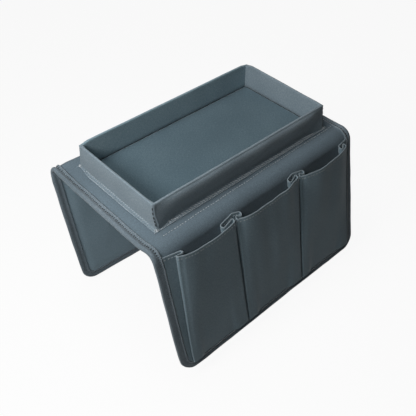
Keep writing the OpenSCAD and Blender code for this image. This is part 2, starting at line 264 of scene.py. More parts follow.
# ---------------------------------------------------------------- the saddle's panel
saddle = dict(
    length=360, width=208, thick=4.0, cloth=0.8, tape=12.0, corner=20.0,
    swell=0.5,       # softness of the flaps' faces
    swellLength=85,
    press=0.8,       # how far the tape's seam presses the padding in, on each face
)
flaps = dict(
    front=dict(radius=18.0, turn=77.2, drop=200.0, sign=-1),
    back=dict(radius=7.0, turn=96.7, drop=211.0, sign=1),
)
for flap in flaps.values():
    flap["bend"] = np.radians(flap["turn"])
    flap["reach"] = flap["radius"] * np.tan(flap["bend"] / 2)
    flap["top"] = saddle["width"] / 2 - flap["reach"]                    # where the fold starts
    flap["foldEnd"] = flap["top"] + flap["radius"] * flap["bend"]        # where the flap starts
    flap["end"] = flap["foldEnd"] + flap["drop"] - flap["reach"]         # the flap's lower edge
half = saddle["length"] / 2


def edgeDistance(side, s, x):
    # Distance from the panel's cut edge, round its two lower corners too
    a, b, r = half - np.abs(x), flaps[side]["end"] - s, saddle["corner"]
    return np.where((a < r) & (b < r), r - np.hypot(r - a, r - b), np.minimum(a, b))


def seamRow(x):
    # How far from the middle line the row of stitches before the front fold lies
    return np.interp(x, (-140, -60, 0, 90, 170), (87.6, 85.6, 83.8, 82.4, 81.2)) + 0.4 * ripple(x, x * 0, 50, 71)


def panelSwell(side, s, x):
    # How far the soft panel stands out of its plane: slow ripples that die out at the tape and mid-top
    w = edgeDistance(side, s, x)
    seed = 11 if side == "front" else 12
    soft = saddle["swell"] * ripple(x, s, saddle["swellLength"], seed)
    fold = 0.35 * ripple(x, s * 0.3, 60, seed + 10) * smoothStep((s - 70) / 30) * (1 - smoothStep((s - 130) / 40))
    swell = (soft + fold) * (0.25 + 0.75 * smoothStep(w / 45)) * smoothStep(s / 50)
    if side == "front":
        return swell + 0.3 * np.exp(-((s - seamRow(x) + 1.3) / 0.8) ** 2) * smoothStep((x + 120) / 160) * smoothStep((w - 9) / 4)
    return swell + (1.8 + 1.6 * smoothStep((-90 - x) / 80)) * np.exp(-((s - 101) / 11) ** 2)


def settle(side, s, x):
    # How the hanging cloth has moved from its plain rectangle: the front flap's left edge is drawn in and
    # its foot hangs a little lower, the back flap's left edge bows out below the fold and in at the foot
    flap = flaps[side]
    down = smoothStep((s - flap["top"]) / 25)
    low = np.clip((s - flap["foldEnd"]) / flap["drop"], 0, 1)
    left = 1 - smoothStep((x + half) / 80)
    if side == "front":
        curl = 3.4 * np.exp(-((x + half) ** 2 + (flap["end"] - s) ** 2) / 512)        # the lower corner draws in
        return (
            s + (3.6 + 1.2 * smoothStep((x - 40) / 60)) * low - curl,
            x + (3.4 + 0.8 * low) * left * smoothStep((s - flap["top"] + 12) / 25) + curl,
        )
    return s + low * np.interp(x, (-180, -70), (-3.5, 2.5)), x - 3.5 * (1 - 1.5 * low * low) * left * down


def onPanel(side, s, x, h):
    # s runs from the top's middle line out over the fold and down the flap on the outer face, h stands off
    # that face. Straight, then a round fold, then straight: the angle is the arc past the fold's start.
    flap = flaps[side]
    lift = h + panelSwell(side, s, x)
    s, x = settle(side, s, x)
    angle = np.clip((s - flap["top"]) / flap["radius"], 0, flap["bend"])
    past = np.maximum(s - flap["foldEnd"], 0)
    out = np.minimum(s, flap["top"]) + flap["radius"] * np.sin(angle) + past * np.cos(angle) + lift * np.sin(angle)
    up = saddle["thick"] - flap["radius"] * (1 - np.cos(angle)) - past * np.sin(angle) + lift * np.cos(angle)
    return np.stack(np.broadcast_arrays(x, flap["sign"] * out, up), -1)


def pressed(side, s, x):
    # 1 under the tape, 0 in the open panel
    return 1 - smoothStep((edgeDistance(side, s, x) - saddle["tape"] + 1) / 13)


def panelRows(side, inset):
    # Rows 3 mm apart, closer over the fold and round the lower corners
    flap = flaps[side]
    last, r = flap["end"] - inset, saddle["corner"] - inset
    turn = np.linspace(0, np.pi / 2, 15)
    return np.r_[
        np.arange(0, 77, 3.0), np.arange(77, flap["top"], 0.6), np.arange(flap["top"], flap["foldEnd"], 1.0),
        np.arange(flap["foldEnd"], last - r - 1, 3.0), last - r + r * np.sin(turn),
    ]


def panelGrid(side, inset, columns=150):
    # Rows across the panel, narrowed by the round corners at the lower edge
    rows = panelRows(side, inset)
    r = saddle["corner"] - inset
    into = np.clip(rows - (flaps[side]["end"] - inset - r), 0, r)
    wide = half - inset - r + np.sqrt(np.maximum(r * r - into * into, 0))
    return rows[:, None] * np.ones(columns), wide[:, None] * np.linspace(-1, 1, columns)


def panelLayer(name, side, inset, high, low, material):
    # A layer between two heights, each pressed towards the panel's middle by a share at the tape
    s, x = panelGrid(side, inset)
    p = pressed(side, s, x) * saddle["press"]
    outer = onPanel(side, s, x, high[0] + high[1] * p)
    inner = onPanel(side, s, x, low[0] + low[1] * p)
    return addPiece(name, [shell(outer, inner, np.stack([x, s], -1))], material)


def foldWith(piece, side):
    # Bakes the piece's placement into its mesh; the points where the fold starts and ends are worked out but not used
    flap = flaps[side]
    a = onPanel(side, np.array(flap["top"]), np.array(0.0), np.array(-2.0)) * mm
    b = onPanel(side, np.array(flap["foldEnd"]), np.array(0.0), np.array(-2.0)) * mm
    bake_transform(piece)


for side in flaps:
    title = side.capitalize()
    pad = panelLayer("wadding" + title, side, 1.6, (-0.85, -1), (-3.15, 1), wadding)
    cover = panelLayer("cover" + title, side, 0.8, (0, -1), (-0.8, -1), coverCloth)
    lining = panelLayer("lining" + title, side, 0.8, (-3.2, 1), (-4, 1), liningLighterAndLitCloth)
    top = ["top_cover", "top_padding", "top_lining"]
    for piece, layer, slotName in ((cover, "cover", "cover"), (pad, "padding", "padding"), (lining, "lining", "lining")):
        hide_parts("top_" + layer, side + "_fold_" + layer, side + "_" + layer)
        foldWith(piece, side)
print("panel layers made")


# ---------------------------------------------------------------- stitches
stitchShape = dict(around=6, rings=5)


def stitches(centres, alongs, ups, length, wide, high):
    # One small lozenge for each centre: rings of six points, thin at both ends, closed by two quads each
    ring = np.linspace(-1, 1, stitchShape["rings"])
    girth = np.sqrt(np.maximum(1 - ring**2 * 0.9, 0.1))
    turn = np.arange(stitchShape["around"]) * 2 * np.pi / stitchShape["around"]
    shape = np.stack([
        np.repeat(ring, 6) * length / 2,
        np.outer(girth, np.cos(turn)).ravel() * wide / 2,
        np.outer(girth, np.sin(turn)).ravel() * high / 2,
    ], -1)
    k, j = np.meshgrid(np.arange(4), np.arange(6), indexing="ij")
    n = (j + 1) % 6
    walls = np.stack([k * 6 + j, k * 6 + n, (k + 1) * 6 + n, (k + 1) * 6 + j], -1).reshape(-1, 4)
    ends = np.array([[0, 3, 2, 1], [0, 5, 4, 3], [24, 25, 26, 27], [24, 27, 28, 29]])
    template = np.r_[walls[:, ::-1], ends[:, ::-1]]
    across = np.cross(ups, alongs)
    across /= np.maximum(np.linalg.norm(across, axis=1, keepdims=True), 1e-9)
    ups = np.cross(alongs, across)
    verts = (
        centres[:, None]
        + alongs[:, None] * shape[None, :, :1] + across[:, None] * shape[None, :, 1:2] + ups[:, None] * shape[None, :, 2:]
    )
    faces = template[None] + 30 * np.arange(len(centres))[:, None, None]
    a, b, c, d = (verts[0][template[:, k]] for k in range(4))
    if (np.cross(b - a, c - a) * a).sum() + (np.cross(c - a, d - a) * a).sum() < 0:
        faces = faces[..., ::-1]
    return verts.reshape(-1, 3), faces.reshape(-1, 4), np.zeros((len(centres) * 30, 2))


def stitchRow(path, ups, pitch=3.4, share=0.72, wide=0.75, high=0.55, slant=0.0, seed=1):
    # Stitches at even steps along a line, each a share of the step long, with a little scatter; slant
    # turns them off the line
    rng = np.random.default_rng(seed)
    run = np.r_[0, np.cumsum(np.linalg.norm(np.diff(path, axis=0), axis=1))]
    count = int(run[-1] / pitch)
    at = (np.arange(count) + 0.5) * run[-1] / count + rng.uniform(-0.15, 0.15, count) * pitch
    pick = lambda values: np.stack([np.interp(at, run, values[:, k]) for k in range(3)], -1)
    centres, up = pick(path), pick(ups)
    alongs = pick(np.gradient(path, axis=0))
    alongs /= np.linalg.norm(alongs, axis=1, keepdims=True)
    side = np.cross(up, alongs)
    turn = slant + rng.uniform(-0.08, 0.08, count)
    alongs = alongs * np.cos(turn)[:, None] + side * np.sin(turn)[:, None]
    return stitches(centres, alongs, up, pitch * share, wide, high)


# ---------------------------------------------------------------- binding tape
tape = dict(
    cloth=0.6,
    step=0.95,
    pucker=0.3,      # ridges across the tape that its stitches pull in
    puckerLength=3.4,
    wave=0.22,       # slow unevenness of the edge
    # rows of stitches: distance from the edge, height, step, share of the step, width, slant; the ladder row is black
    # marks across the trough, painted shade between the tape's puckers
    rows=dict(outer=(10.4, 1.1, 3.3, 0.9, 0.8, 0.0), ladder=(7.8, -0.1, 3.4, 0.95, 1.3, 1.57), inner=(9.9, -3.95, 3.3, 0.72, 0.7, 0.0)),
)
# Section of the tape: distance from the edge and height off the panel's outer face. A folded ridge at
# the inner edge, the seam's trough, a soft hump, then round the cut edges to the inner face.
tapeOuter = [(11.1, -1.0), (11.15, -0.2), (11.0, 0.5), (10.4, 0.85), (9.5, 0.55), (8.6, -0.2), (7.6, -0.75), (6.6, -0.6),
             (5.5, 0.1), (4.4, 0.75), (3.2, 0.95), (1.9, 0.55), (0.8, -0.35), (0.25, -1.3), (0.1, -2.0)]
tapeInner = [(0.25, -2.7), (0.8, -3.45), (1.8, -3.85), (3.0, -3.95), (4.2, -3.85), (5.4, -3.6), (6.7, -3.4), (7.9, -3.45),
             (9.0, -3.7), (10.0, -3.95), (10.6, -4.0), (11.0, -3.85), (11.1, -3.2)]
tapeSection = curveThrough(tapeOuter + tapeInner, 48)


def tapePath(side):
    # Round the panel's edge from the top's middle line to the same line at the other end: straight
    # down one end, round both lower corners, straight up the other. Gives x, s and the inward direction.
    end, r = flaps[side]["end"], saddle["corner"]
    down = np.arange(0, end - r, tape["step"])
    turn = np.linspace(0, np.pi / 2, 21)
    low = np.linspace(r - half, half - r, int(2 * (half - r) / tape["step"]))[1:-1]
    x = np.r_[np.full(len(down), -half), r - half - r * np.cos(turn), low]
    s = np.r_[down, end - r + r * np.sin(turn), np.full(len(low), end)]
    inX = np.r_[np.ones(len(down)), np.cos(turn), np.zeros(len(low))]
    inS = np.r_[np.zeros(len(down)), -np.sin(turn), -np.ones(len(low))]
    back = slice(len(down) + 20, None, -1)
    return np.r_[x, -x[back]], np.r_[s, s[back]], np.r_[inX, -inX[back]], np.r_[inS, inS[back]]


def tapeSurface(side, w, h):
    # The section carried along the path, with ridges across it near its stitches and a slow waver
    x, s, inX, inS = (k[:, None] for k in tapePath(side))
    run = np.r_[0, np.cumsum(np.hypot(np.diff(x[:, 0]), np.diff(s[:, 0])))][:, None]
    calm = smoothStep(s / 20)
    near = np.exp(-((w - 8.6) / 2.6) ** 2)
    outside = np.where(h > -2, 1.0, -0.6)
    ridge = tape["pucker"] * np.sin(2 * np.pi * run / tape["puckerLength"] + 1.5 * ripple(run, run * 0, 40, 3)) * near
    waver = tape["wave"] * ripple(run, w * 0.4, 26, 21 if side == "front" else 22)
    hump = np.exp(-((w - 3.5) / 3.5) ** 2)
    flatter = (0.15 + 0.75 * smoothStep((-145 - x) / 25) + 0.35 * smoothStep((x - 145) / 25)) * smoothStep((s - flaps[side]["top"]) / 30) * (h > -1.2) * (side == "front")
    h = h + (0.1 - h) * flatter * smoothStep((11 - w) / 3)
    lift = (ridge + waver * (0.3 + 0.7 * hump)) * calm * outside
    inward = w + 0.25 * ripple(run, run * 0 + 7, 45, 23) * calm
    return onPanel(side, s + inS * inward, x + inX * inward, h + lift), run + 0 * w


def tapePiece(side):
    w, h = tapeSection[None, :, 0], tapeSection[None, :, 1]
    centre, run = tapeSurface(side, w, h)
    arc = np.r_[0, np.cumsum(np.linalg.norm(np.diff(tapeSection, axis=0), axis=1))]
    flat = np.stack([arc[None] + 0 * run, run], -1)
    piece = addPiece("tape" + side.capitalize(), [clothShell(centre, tape["cloth"], flat)], tapeCloth)
    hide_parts("top_binding_left", "top_binding_right", side + "_fold_bindings", side + "_binding")
    foldWith(piece, side)
    return piece


def tapeThread(side):
    # A row along the inner edge on each face, and black ladder marks over the trough, painted shade between the tape's
    # puckers
    rows = []
    for name, (w, h, pitch, share, wide, slant) in tape["rows"].items():
        line, _ = tapeSurface(side, np.array([[w]]), np.array([[h]]))
        off, _ = tapeSurface(side, np.array([[w]]), np.array([[h + (1 if h > -2 else -1)]]))
        up = off[:, 0] - line[:, 0]
        up /= np.linalg.norm(up, axis=1, keepdims=True)
        rows.append(stitchRow(line[:, 0], up, pitch=pitch, share=share, wide=wide, high=0.6, slant=slant, seed=31))
    for name, row, thread in (("tapeThread", [rows[0], rows[2]], darkThread), ("tapeLadderShade", [rows[1]], blackShadeThread)):
        piece = addPiece(name + side.capitalize(), row, thread)
        foldWith(piece, side)


for side in flaps:
    tapePiece(side)
    tapeThread(side)
print("tapes made")


# ---------------------------------------------------------------- the tray
tray = dict(
    length=300, width=150, base=4.0, rim=42.0, shiftX=1.8, shiftY=3.0,
    wall=3.6, cloth=0.7,
    flange=5.5, flare=3.8,
    waver=0.35,      # unevenness of the walls
    pucker=4.2, puckerHeight=0.4,      # step of the flange's stitches, which draw it into ridges
    seamRound=0.7,   # how far the corners turn in to their seams
)
boardTop = tray["base"] + 2
rim = tray["rim"]
# Sections of a wall's cloth from the flange's edge to the tray's floor: distance outside the rim and
# height. Both ends of each part have the same heights, so the corners meet.
partSizes = (18, 34, 16, 20)
longFlange = [(6.4, 4.55), (6.3, 5.0), (5.8, 5.2), (5.0, 4.95), (3.6, 4.75), (1.6, 4.85), (0.2, 5.6)]
longSkirt = [(0.2, 5.6), (-0.3, 7.5), (-0.2, 11), (0.9, 16), (2.5, 22), (3.6, 28), (3.5, 33.0), (1.8, 37.8), (-0.3, 40.4)]
cornerFlange = [(6.4, 4.55), (6.3, 4.8), (6.0, 5.0), (5.6, 5.1), (5.2, 5.2), (4.8, 5.35), (4.5, 5.6)]
cornerSkirt = [(4.5, 5.6), (4.4, 7.5), (4.1, 11), (3.1, 16), (1.7, 22), (0.7, 28), (0.1, 33.5), (-0.2, 38.3), (-0.3, 40.4)]
shortFlange = [(5.4, 4.55), (5.3, 5.0), (4.8, 5.2), (4.0, 4.95), (2.9, 4.75), (1.3, 4.9), (0.1, 5.6)]
shortSkirt = [(0.1, 5.6), (0.0, 7.5), (0.1, 11), (0.35, 16), (0.5, 22), (0.45, 28), (0.2, 33.5), (-0.15, 38.3), (-0.3, 40.4)]
rimRoll = [(-0.3, 40.4), (-0.55, 41.2), (-1.1, 41.65), (-1.8, 41.75), (-2.5, 41.65), (-3.05, 41.2), (-3.25, 40.4)]
innerLeg = [(-3.25, 40.4), (-3.6, 34), (-4.0, 24), (-4.2, 14), (-4.1, 10), (-3.6, 7.9), (-3.0, 6.5)]


def wallSection(flange, skirt):
    parts = [curveThrough(p, n) for p, n in zip((flange, skirt, rimRoll, innerLeg), partSizes)]
    return np.concatenate([parts[0]] + [p[1:] for p in parts[1:]])


def onTray(side, a, out, z):
    # Puts a wall's own coordinates (along, outwards, up) on its side of the tray
    length, width = tray["length"] / 2, tray["width"] / 2
    x, y = {
        "front": (a, -width - out), "back": (-a, width + out),
        "right": (length + out, a), "left": (-length - out, -a),
    }[side]
    return np.stack(np.broadcast_arrays(x + tray["shiftX"], y + tray["shiftY"], z), -1)


def wallCloth(side):
    # Each wall is mitred: its row at a given height is longer than the rim by what the next wall stands
    # out there. The middle section turns into the corner's over the last 34 mm.
    isLong = side in ("front", "back")
    reach = (tray["length"] if isLong else tray["width"]) / 2
    middle = wallSection(longFlange, longSkirt) if isLong else wallSection(shortFlange, shortSkirt)
    corner = wallSection(cornerFlange, cornerSkirt) if isLong else wallSection(shortFlange, shortSkirt)
    other = wallSection(shortFlange, shortSkirt) if isLong else wallSection(cornerFlange, cornerSkirt)
    t = np.linspace(-1, 1, 440 if isLong else 240)
    t = np.sign(t) * (1 - (1 - np.abs(t)) ** 1.3)          # closer columns at the corners
    a = t[:, None] * (reach + other[None, :, 0])
    fromEnd = (reach * (1 - np.abs(t)))[:, None]
    blend = smoothStep(fromEnd / (34 if isLong else 20))
    out = corner[None, :, 0] * (1 - blend) + middle[None, :, 0] * blend
    z = corner[None, :, 1] * (1 - blend) + middle[None, :, 1] * blend
    part = np.arange(out.shape[1])[None]
    seed = {"front": 41, "back": 42, "left": 43, "right": 44}[side]
    calm = smoothStep(fromEnd / 14)
    outside = part < sum(partSizes[:2])
    onSkirt = smoothStep((z - 5) / 6) * smoothStep((rim - z) / 5)
    waver = tray["waver"] * ripple(a, z, 48, seed)
    out = out + np.where(outside, np.maximum(waver, -0.1 if isLong else -0.3), 0.5 * waver) * calm * onSkirt
    atFoot = (1 - smoothStep((z - 4) / 9)) * outside
    out = out + 0.55 * ripple(a, a * 0, 55, seed + 5) * calm * atFoot * (0.25 if isLong else 1.0) * smoothStep((out - 1) / 3)
    if side == "left":
        narrow = 1 - smoothStep((a + reach + 2) / 26)
        out = out - np.maximum(out - 0.6, 0) * (0.8 * narrow + 0.3 * smoothStep((a - 20) / 50)) * atFoot
    pucker = np.sin(2 * np.pi * a / tray["pucker"] + ripple(a, a * 0, 60, seed + 7))
    onFlange = (part < partSizes[0]) * smoothStep((out - 0.3) / 2) * smoothStep(((6.4 if isLong else 5.4) - out) / 1.2)
    z = z + tray["puckerHeight"] * pucker * onFlange * calm
    across = {"front": a * 0 - reach, "back": a * 0 + reach, "left": -a, "right": a}[side] if not isLong else a * 0
    higher = {"front": a * 0, "back": 2.2 + a * 0, "left": a * 0, "right": 0.5 + 1.6 * smoothStep((across + 60) / 120)}[side]
    z = z + (0.22 * ripple(a, a * 0, 90, seed + 12) + higher) * calm * smoothStep((z - 36) / 4)
    # the corner seam: a groove, with the long wall's edge rolled up beside it
    seam = smoothStep((z - 6) / 4) * smoothStep((rim - z) / 3) * outside
    out = out - np.exp(-(fromEnd / 0.9) ** 2) * tray["seamRound"] * seam
    if isLong:
        out = out + 0.45 * np.exp(-((fromEnd - seamRun(z) - 2.0) / 1.1) ** 2) * seam
        out = out - 0.35 * np.exp(-((fromEnd - seamRun(z)) / 0.6) ** 2) * seam
    else:
        out = out - 1.3 * np.exp(-(fromEnd / 6) ** 2) * (part >= sum(partSizes[:2]) + 8)
    return a, out, z


def seamRun(z):
    # The corner seam wanders onto the long wall as it goes down, and comes back at the foot
    return np.interp(z, (5, 8, 13, 20, 28, 40), (0.2, 1.0, 1.9, 1.1, 0.3, 0.1))


def wallPiece(side):
    a, out, z = wallCloth(side)
    centre = onTray(side, a, out, z)
    run = np.cumsum(np.linalg.norm(np.diff(centre, axis=1, prepend=centre[:, :1]), axis=-1), axis=1)
    piece = addPiece("wall" + side.capitalize(), [clothShell(centre, tray["cloth"], np.stack([a, run], -1))], backWallBounceLitCloth if side == "back" else trayWallLitCloth)
    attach(piece, "saddle")
    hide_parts("tray_cloth_" + side)
    return piece


for side in ("front", "back", "left", "right"):
    wallPiece(side)


def trayFloor(rows=90, columns=170):
    # A slightly pillowed sheet whose edges roll down into the seam
    inset = tray["wall"] + 1.2
    x, y = np.meshgrid(
        np.linspace(-1, 1, columns) * (tray["length"] / 2 - inset),
        np.linspace(-1, 1, rows) * (tray["width"] / 2 - inset),
    )
    grow = 1 - (1 - np.abs(np.linspace(-1, 1, columns))) ** 1.6
    x = np.sign(x) * (tray["length"] / 2 - inset) * grow[None]
    grow = 1 - (1 - np.abs(np.linspace(-1, 1, rows))) ** 1.6
    y = np.sign(y) * (tray["width"] / 2 - inset) * grow[:, None]
    edge = np.minimum(tray["length"] / 2 - inset - np.abs(x), tray["width"] / 2 - inset - np.abs(y))
    z = boardTop + 1.2 + 0.25 * ripple(x, y, 90, 51) * smoothStep(edge / 30) - 0.8 * (1 - smoothStep(edge / 1.8))
    centre = np.stack([x + tray["shiftX"], y + tray["shiftY"], z], -1)
    piece = addPiece("trayFloor", [clothShell(centre, tray["cloth"], np.stack([x, y], -1))], floorShadedCloth)
    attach(piece, "saddle")
    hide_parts("tray_floor_cloth")
    return piece


trayFloor()


def sectionAt(side, out, rise):
    # A line along a wall's flange at a distance outside the rim, lying on the cloth
    a, o, z = wallCloth(side)
    low = slice(0, partSizes[0])
    k = np.abs(o[:, low] - out).argmin(1)
    pick = np.arange(len(k))
    return onTray(side, a[pick, k], o[pick, k], z[pick, k] + tray["cloth"] / 2 + rise)


def trayThreadAndEdgeHighlight():
    # Rows on the flanges: long slanted stitches over the long ones, plain rows along the short ones, a continuous pale
    # line along each flange's folded edge, which is a painted highlight, and a few bar stitches at the foot of each
    # corner
    up = np.array([[0.0, 0.0, 1.0]])
    rows = []
    for side in ("front", "back", "left", "right"):
        isLong = side in ("front", "back")
        inner = sectionAt(side, 2.9 if isLong else 0.4, 0.1)
        keep = np.abs(inner[:, 0 if isLong else 1] - (tray["shiftX"] if isLong else tray["shiftY"])) < (132 if isLong else 66)
        inner = inner[keep]
        ones = up * np.ones((len(inner), 1))
        if isLong:
            rows.append(stitchRow(inner, ones, pitch=tray["pucker"], share=1.2, wide=1.2, high=1.2, slant=-1.15, seed=62))
            # a continuous line of overlapping pale stitches on the flange's folded edge: painted highlight
            edge = sectionAt(side, 6.1, -0.1)
            rows.append(stitchRow(edge, up * np.ones((len(edge), 1)), pitch=4.2, share=1.02, wide=0.7, high=0.6, seed=65))
        else:
            rows.append(stitchRow(inner, ones, pitch=3.6, share=0.7, wide=0.9, high=1.2, slant=1.0, seed=63))
            # a continuous line of overlapping pale stitches on the flange's folded edge: painted highlight
            edge = sectionAt(side, 4.9, -0.1)
            rows.append(stitchRow(edge, up * np.ones((len(edge), 1)), pitch=3.4, share=1.02, wide=0.6, high=0.5, seed=61))
    for endX in (-1, 1):
        for endY in (-1, 1):
            foot = np.array([tray["shiftX"] + endX * tray["length"] / 2, tray["shiftY"] + endY * tray["width"] / 2, 0])
            spots = np.array([(0.4, 4.4, 6.6), (-1.6, 5.2, 5.9), (2.2, 3.6, 5.8), (0.9, 5.8, 5.6), (-0.2, 2.6, 6.3)])
            turns = np.radians([80, 35, 60, 100, 50])
            centres = foot + np.stack([endX * spots[:, 0], endY * spots[:, 1], spots[:, 2]], -1)
            alongs = np.stack([endX * np.cos(turns), endY * np.sin(turns), 0 * turns], -1)
            rows.append(stitches(centres, alongs, up * np.ones((5, 1)), 3.2, 1.2, 1.0))
    piece = addPiece("trayThreadAndEdgeHighlight", rows, paleThreadAndEdgeHighlight)
    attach(piece, "saddle")
    return piece


def cornerThread():
    # Black stitches down each corner seam: painted shade in the seam's gaps
    rows = []
    for side in ("front", "back"):
        for end in (-1, 1):
            a, out, z = (k[:, partSizes[0] + 3:sum(partSizes[:2]) - 3] for k in wallCloth(side))
            pick = (-1 if end > 0 else 0, slice(None))
            off = 0.5 if side == "front" else -0.3
            line = onTray(side, a[pick] + (off - 0.2) * end, out[pick] + off, z[pick])
            away = onTray(side, a[pick] + 1.55 * end, out[pick] + 1.55, z[pick]) - line
            away /= np.linalg.norm(away, axis=1, keepdims=True)
            rows.append(stitchRow(line, away, pitch=5.2, share=0.78, wide=1.5, high=0.8, slant=0.1, seed=64))
    piece = addPiece("cornerThread", rows, blackShadeThread)
    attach(piece, "saddle")
    return piece


cornerThread()
trayThreadAndEdgeHighlight()
print("tray made")


def topstitch():
    # One row along the front, just before the fold
    x = np.linspace(-150, half - 13, 260)
    s = seamRow(x)
    line = onPanel("front", s, x, np.full(len(x), 0.2))
    off = onPanel("front", s, x, np.full(len(x), 1.2))
    up = off - line
    piece = addPiece("topstitch", [stitchRow(line, up, pitch=4.2, share=0.62, wide=1.0, high=0.9, seed=72)], paleThreadAndEdgeHighlight)
    foldWith(piece, "front")
    return piece


topstitch()


# ---------------------------------------------------------------- pleated pockets
pockets = dict(
    names=("pocketLeft", "pocketMiddle", "pocketRight"),
    # left inner, left outer, right outer and right inner folds, from the bay's left and right seams
    # at the mouth, and at the bottom seam
    folds=((26, 13.5, -3, -22), (11, 1.6, 3.4, -12.5), (17.5, 7.7, -7, -18)),
    foldsLow=((18, 5.5, -2, -18), (13.5, 1.4, -1.8, -17.5), (12, 1.4, -5, -17)),
    # how far the front panel stands off at its left fold, its right fold, and its bulge between
    stand=((12, 9.5, 2), (9.5, 8.5, 5), (8.5, 8, 7)),
    # the mouth's edge: its height, how far it drops for each mm it stands off at the left and right, and its sag
    mouth=10.0, tilt=((-0.15, 0.6), (0.8, 0.62), (0.75, 0.6)), sag=(5.0, 1.5, 2.0),
    shoulder=2.4,    # roundness beside the panel's left fold
    cloth=0.7, gap=0.05,
    foldTop=2.5, foldLow=1.0, innerTop=4.6,
    hem=9.0, hemStitch=3.6,
    swell=1.0,
)
bay = (saddle["length"] - 2 * saddle["tape"]) / 3
pocketLow = flaps["front"]["drop"] - saddle["tape"] - pockets["gap"]
innerCorner = saddle["corner"] - saddle["tape"]


def arcPoints(x, z, r, start, stop, count=9):
    # Points round a fold, from one side of the cloth to the other
    a = np.radians(np.linspace(start, stop, count))
    return np.stack([x + r * np.cos(a), z + r * np.sin(a)], -1)


def pocketLine(index, t):
    # Centre line of the cloth across a pocket at each t (0 the mouth, 1 the bottom seam): from the left
    # seam to an inner fold, back to the panel's left fold, across, and in the same way to the right seam.
    # Heights shrink as (1 - t)^1.3 and the folds tighten with them.
    t = np.asarray(t, float).reshape(-1, 1)
    left = saddle["tape"] + index * bay + pockets["gap"]
    right = left + bay - 2 * pockets["gap"]
    stand = pockets["stand"][index]
    folds = [a * (1 - t) + b * t for a, b in zip(pockets["folds"][index], pockets["foldsLow"][index])]
    up = (1 - t) ** 1.3
    r = pockets["foldLow"] + (pockets["foldTop"] - pockets["foldLow"]) * up
    seam = 0.45
    innerZ = (seam + pockets["foldLow"]) * (1 - up) + pockets["innerTop"] * up
    flatZ = seam + 4 * pockets["foldLow"]
    leftZ, rightZ = flatZ * (1 - up) + stand[0] * up, flatZ * (1 - up) + stand[1] * up
    innerLeft, outerLeft, outerRight, innerRight = left + folds[0], left + folds[1], right + folds[2], right + folds[3]
    baseRun = innerCorner * (1 - np.cos(np.radians(np.arange(0, 80, 15))))[None]
    s = np.linspace(0, 1, 42)[None, 1:-1]
    x = (outerLeft + r) * (1 - s) + (outerRight - r) * s
    flat = smoothStep((x - innerLeft - 1) / 12) * smoothStep((innerRight - 1 - x) / 12)
    z = leftZ * (1 - s) + rightZ * s + up * stand[2] * 4 * s * (1 - s) - t**4 * 4 * pockets["foldLow"] * flat
    run = x - x[:, :1]
    z = z + pockets["shoulder"] * (1 - np.exp(-run / 3.5)) * np.exp(-run / 28) * (1 - t) ** 0.5
    parts = [
        np.stack([left + baseRun + 0 * t, seam + (innerZ - r - seam) * baseRun / (innerLeft - r - left)], -1),
        arcPoints(innerLeft - r, innerZ, r, -90, 90),
        arcPoints(outerLeft + r, leftZ - r, r, 270, 90),
        np.stack([x, z], -1),
        arcPoints(outerRight - r, rightZ - r, r, 90, -90),
        arcPoints(innerRight + r, innerZ, r, 90, 270),
        np.stack([right - baseRun + 0 * t, seam + (innerZ - r - seam) * baseRun / (right - innerRight - r)], -1)[:, ::-1],
    ]
    return np.concatenate([np.broadcast_to(p, (len(t),) + p.shape[1:]) for p in parts], 1)


def pocketBottom(x):
    # The row's lower corners follow the round inner edge of the tape
    side = np.minimum(x - saddle["tape"], saddle["length"] - saddle["tape"] - x)
    short = np.maximum(0, innerCorner - side)
    return pocketLow - innerCorner + np.sqrt(np.maximum(innerCorner**2 - short**2, 0))


def pocketPoint(index, t, inward, above=0.0):
    # The cloth at t, set in by a distance square to its line, and raised past the mouth
    line = pocketLine(index, t)
    step = np.gradient(line, axis=1)
    normal = np.stack([-step[..., 1], step[..., 0]], -1)
    normal /= np.linalg.norm(normal, axis=-1, keepdims=True)
    normal[:, [0, -1]] = (0, 1)
    left = saddle["tape"] + index * bay
    share = np.clip((line[..., 0] - left) / bay, 0, 1)
    stand, tilt = pockets["stand"][index], pockets["tilt"][index]
    plain = np.minimum(line[..., 1], stand[0] * (1 - share) + stand[1] * share)
    mouth = pockets["mouth"] + (tilt[0] * (1 - share) + tilt[1] * share) * plain + pockets["sag"][index] * 4 * share * (1 - share)
    t = np.asarray(t, float).reshape(-1, 1)
    v = mouth * (1 - t) + pocketBottom(line[..., 0]) * t - np.asarray(above, float).reshape(-1, 1)
    flat = line - normal * np.asarray(inward, float).reshape(-1, 1, 1)
    x, height = flat[..., 0] - half, flat[..., 1]
    loose = (1 - t) ** 0.7 * smoothStep((height - 2) / 4)
    height = height + pockets["swell"] * ripple(x, v * 0.2, 34, 81 + index) * loose
    return onFlap(x, v, height), np.stack([np.cumsum(np.linalg.norm(step, axis=-1), axis=1), v - mouth], -1)


def onFlap(x, v, height):
    # The front flap's own plane, carried on straight past the fold: v down from the corner of the fold
    lean = np.pi / 2 - flaps["front"]["bend"]
    s = flaps["front"]["foldEnd"] + v - flaps["front"]["reach"]
    lift = height + panelSwell("front", s, x)
    moved, x = settle("front", s, x)
    v = v + moved - s
    y = -saddle["width"] / 2 - v * np.sin(lean) - lift * np.cos(lean)
    z = saddle["thick"] - v * np.cos(lean) + lift * np.sin(lean)
    return np.stack([x, y, z], -1)


